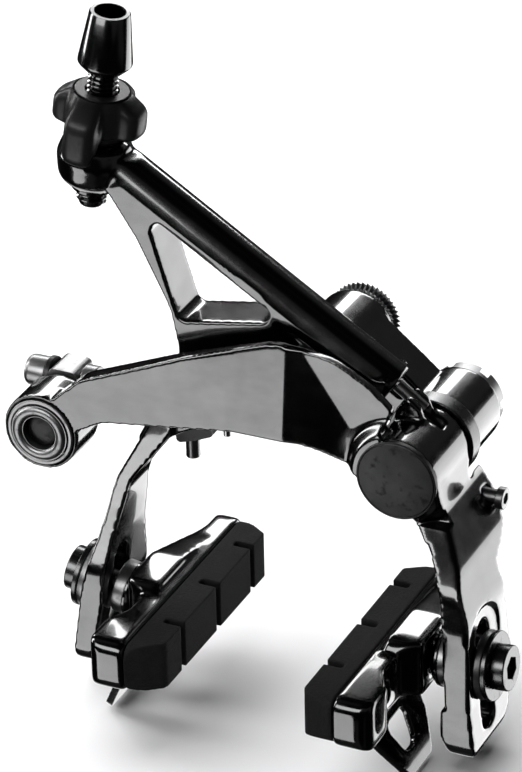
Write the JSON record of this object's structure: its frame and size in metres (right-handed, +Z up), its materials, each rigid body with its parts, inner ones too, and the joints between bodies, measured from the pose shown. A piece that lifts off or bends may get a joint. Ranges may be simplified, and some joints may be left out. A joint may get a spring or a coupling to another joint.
{
  "type": "rim brake caliper",
  "caption": "Dual-pivot side-pull rim brake caliper with two lever arms, a barrel cable adjuster, a swivelling cable anchor and height-adjustable brake shoes.",
  "frame": {"origin": "on the frame bolt's axis, in the plane of the serrated washer's tooth tips, which press on the frame or fork", "axes": "+Y points into the frame along the frame bolt, +X towards the side pivot, +Z up; the brake's front faces -Y"},
  "size_m": [0.1101, 0.0688, 0.1358],
  "materials": {
    "black_anodised": "gloss",
    "polished_steel": "polished",
    "spring_steel": "drawn wire",
    "grey_anodised": "satin",
    "bronze": "sintered",
    "black_plastic": "satin",
    "gloss_black": "gloss",
    "pad_rubber": "matt",
    "black_steel": "blackened, semi-gloss"
  },
  "bodies": {
    "frame_side": {"bridge_plate": "black_anodised", "centre_spindle": "polished_steel", "serrated_washer": "polished_steel", "side_pivot_bolt": "polished_steel", "side_pivot_nut": "polished_steel", "spacer_ring": "grey_anodised", "centre_thrust_washer": "bronze", "spindle_head_washer": "polished_steel", "spring_post": "polished_steel", "return_spring": "spring_steel"},
    "upper_arm_body": {"upper_arm": "black_anodised", "upper_arm_bushings": "bronze", "boss_insert": "polished_steel", "spring_bracket": "black_plastic"},
    "preload_screw_body": {"preload_screw": "polished_steel"},
    "barrel_body": {"barrel_adjuster": "black_anodised", "housing_liner": "black_plastic"},
    "knob_body": {"adjuster_knob": "black_plastic", "knob_washer": "grey_anodised"},
    "front_arm_body": {"front_arm": "black_anodised", "front_arm_bushings": "bronze", "hub_cap": "black_anodised", "ear_screw": "polished_steel", "eye_bushing": "bronze"},
    "centring_screw_body": {"centring_screw": "polished_steel"},
    "anchor_body": {"anchor_pin": "polished_steel", "anchor_ring": "polished_steel", "clamp_bolt": "polished_steel", "clamp_washer": "grey_anodised", "clamp_plate": "polished_steel"},
    "left_shoe": {"left_shoe_holder": "gloss_black", "left_pad": "pad_rubber", "left_pad_screw": "polished_steel", "left_wheel_guide": "gloss_black", "left_pad_bolt": "black_steel", "left_flange_washer": "black_steel", "left_outer_washer": "polished_steel", "left_inner_ring": "polished_steel", "left_cup_washer": "gloss_black", "left_bolt_insert": "polished_steel"},
    "right_shoe": {"right_shoe_holder": "gloss_black", "right_pad": "pad_rubber", "right_pad_screw": "polished_steel", "right_wheel_guide": "gloss_black", "right_pad_bolt": "black_steel", "right_flange_washer": "black_steel", "right_outer_washer": "polished_steel", "right_inner_ring": "polished_steel", "right_cup_washer": "gloss_black", "right_bolt_insert": "polished_steel"}
  },
  "joints": [
    {"name": "front_arm_pivot", "type": "hinge", "parent": "frame_side", "child": "front_arm_body", "pos_m": [0.0224, 0, -0.0124], "axis": [0, 1, 0], "range_deg": [0, 8], "stiffness_Nm_per_rad": 1, "springref_deg": -22.92},
    {"name": "upper_arm_pivot", "type": "hinge", "parent": "frame_side", "child": "upper_arm_body", "pos_m": [0, 0, 0], "axis": [0, -1, 0], "range_deg": [0, 8], "stiffness_Nm_per_rad": 1, "springref_deg": -22.92, "deforming": ["return_spring"]},
    {"name": "knob_turn", "type": "hinge", "parent": "upper_arm_body", "child": "knob_body", "pos_m": [-0.04464, -0.025, 0.04496], "axis": [0.1392, 0, 0.9903], "range_deg": [-1080, 1080]},
    {"name": "barrel_travel", "type": "slide", "parent": "upper_arm_body", "child": "barrel_body", "axis": [0.1392, 0, 0.9903], "range_m": [-0.003, 0.003]},
    {"name": "anchor_swivel", "type": "hinge", "parent": "front_arm_body", "child": "anchor_body", "pos_m": [-0.0536, -0.033, -0.0187], "axis": [0, 1, 0], "range_deg": [-20, 20]},
    {"name": "left_shoe_height", "type": "slide", "parent": "upper_arm_body", "child": "left_shoe", "axis": [0.1564, 0, 0.9877], "range_m": [-0.001, 0.005]},
    {"name": "right_shoe_height", "type": "slide", "parent": "front_arm_body", "child": "right_shoe", "axis": [-0.0698, 0, 0.9976], "range_m": [-0.001, 0.005]},
    {"name": "preload_screw_turn", "type": "hinge", "parent": "upper_arm_body", "child": "preload_screw_body", "pos_m": [-0.0272, -0.024, -0.02], "axis": [0, 0, 1], "range_deg": [-180, 180]},
    {"name": "centring_screw_turn", "type": "hinge", "parent": "front_arm_body", "child": "centring_screw_body", "pos_m": [0.0175, -0.026, 0.0011], "axis": [0.809, 0, -0.5878], "range_deg": [-180, 180]}
  ],
  "couplings": [
    {"joint": "upper_arm_pivot", "follows": "front_arm_pivot", "ratio": 1},
    {"joint": "knob_turn", "follows": "barrel_travel", "rad_per_m": 6283.2}
  ]
}
